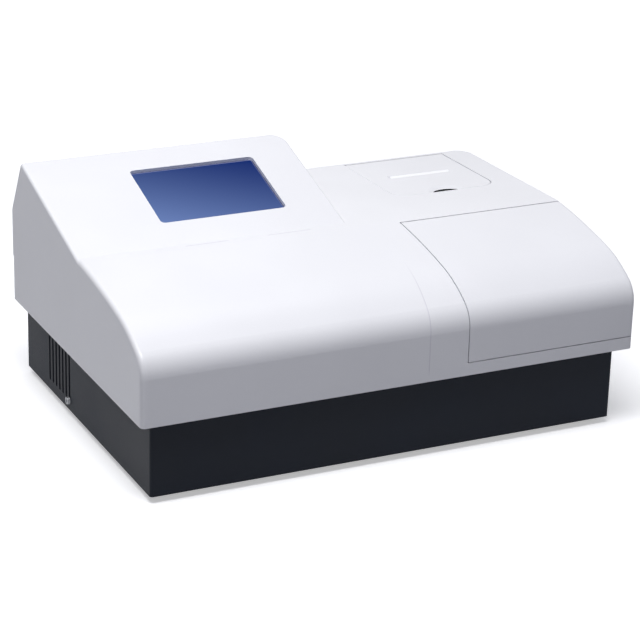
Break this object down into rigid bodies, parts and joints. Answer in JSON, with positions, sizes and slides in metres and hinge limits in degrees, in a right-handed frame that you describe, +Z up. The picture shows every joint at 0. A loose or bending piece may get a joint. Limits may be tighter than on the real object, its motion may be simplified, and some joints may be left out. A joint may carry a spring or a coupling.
{
  "type": "microplate_reader",
  "caption": "White and charcoal benchtop microplate reader with tilted touch screen, lift-up plate door, moving plate carriage and built-in receipt printer",
  "frame": {"origin": "on the table, under the middle of the housing's footprint", "axes": "+X to the user's right, -Y towards the user, +Z up"},
  "size_m": [0.44, 0.3, 0.2],
  "materials": {
    "housing_white": "polished",
    "screen_glass": "polished",
    "base_paint": "satin",
    "foot_rubber": "matte",
    "screw_steel": "satin",
    "dark_plastic": "matte",
    "board_metal": "satin",
    "circuit_board": "satin",
    "rod_steel": "polished",
    "bracket_metal": "matte",
    "inner_plastic": "satin",
    "paper": "matte",
    "carriage_metal": "satin",
    "brass": "satin",
    "motor_black": "satin",
    "optics_glass": "polished",
    "filter_glass": "polished"
  },
  "bodies": {
    "base": {"base_tray": "base_paint", "compartment_partition": "bracket_metal", "condenser_lens": "optics_glass", "cooling_fan": "dark_plastic", "cover_hinge_rod": "rod_steel", "detector_board": "circuit_board", "display_board": "circuit_board", "display_window": "screen_glass", "door_hinge_bracket_left": "bracket_metal", "door_hinge_bracket_right": "bracket_metal", "door_hinge_rod": "rod_steel", "fan_guard": "rod_steel", "filter_motor": "motor_black", "front_rail_bracket": "carriage_metal", "guide_rods": "rod_steel", "housing_screws": "screw_steel", "lamp": "optics_glass", "lamp_housing": "carriage_metal", "lcd_module": "board_metal", "lens_row": "optics_glass", "lens_tube": "motor_black", "light_pipe": "optics_glass", "main_board": "circuit_board", "optics_bridge": "carriage_metal", "optics_head": "motor_black", "optics_shelf": "bracket_metal", "panel_screws": "screw_steel", "plate_standoffs": "brass", "power_inlet": "dark_plastic", "power_supply": "bracket_metal", "printer_bay": "inner_plastic", "printer_mechanism": "board_metal", "rear_panel": "base_paint", "rear_rail_bracket": "carriage_metal", "roll_spindle": "dark_plastic", "rubber_feet": "foot_rubber", "serial_port": "board_metal", "side_screws": "screw_steel", "stepper_motor": "motor_black", "switch_frame": "dark_plastic", "thermal_head": "carriage_metal", "transport_plate": "bracket_metal", "upper_housing": "housing_white", "wheel_bracket": "bracket_metal"},
    "door": {"plate_door": "housing_white"},
    "cover": {"printer_cover": "housing_white"},
    "carriage_body": {"carriage": "carriage_metal", "carriage_bushings": "brass", "drive_nut": "brass"},
    "screw_body": {"drive_screw": "rod_steel", "shaft_coupling": "carriage_metal"},
    "wheel_body": {"filter_wheel": "motor_black", "filter_set": "filter_glass"},
    "fan_body": {"fan_rotor": "dark_plastic"},
    "roll_body": {"paper_roll": "paper"},
    "platen_body": {"platen_roller": "foot_rubber", "platen_gear": "inner_plastic"},
    "rocker_body": {"power_switch": "dark_plastic"}
  },
  "joints": [
    {"name": "door_hinge", "type": "hinge", "parent": "base", "child": "door", "pos_m": [0.1416, -0.04777, 0.15064], "axis": [-1, 0, 0], "range_deg": [0, 85]},
    {"name": "printer_cover_hinge", "type": "hinge", "parent": "base", "child": "cover", "pos_m": [0.1416, 0.1313, 0.15162], "axis": [-1, 0, 0], "range_deg": [0, 95]},
    {"name": "carriage_slide", "type": "slide", "parent": "base", "child": "carriage_body", "axis": [0, 1, 0], "range_m": [0, 0.14]},
    {"name": "drive_screw_spin", "type": "hinge", "parent": "base", "child": "screw_body", "pos_m": [0.068, 0, 0.086], "axis": [0, 1, 0], "range_deg": [-10, 2540]},
    {"name": "filter_wheel_spin", "type": "hinge", "parent": "base", "child": "wheel_body", "pos_m": [0.036, 0.014, 0.097], "axis": [1, 0, 0], "continuous": true},
    {"name": "fan_spin", "type": "hinge", "parent": "base", "child": "fan_body", "pos_m": [-0.02, 0.141, 0.039], "axis": [0, 1, 0], "continuous": true},
    {"name": "paper_roll_spin", "type": "hinge", "parent": "base", "child": "roll_body", "pos_m": [0.1416, 0.0663, 0.12895], "axis": [1, 0, 0], "continuous": true},
    {"name": "platen_spin", "type": "hinge", "parent": "base", "child": "platen_body", "pos_m": [0.1416, 0.0993, 0.14095], "axis": [1, 0, 0], "continuous": true},
    {"name": "power_switch_rock", "type": "hinge", "parent": "base", "child": "rocker_body", "pos_m": [-0.128, 0.144, 0.039], "axis": [-1, 0, 0], "range_deg": [0, 16]}
  ],
  "couplings": [
    {"joint": "drive_screw_spin", "follows": "carriage_slide", "rad_per_m": 314.16}
  ]
}
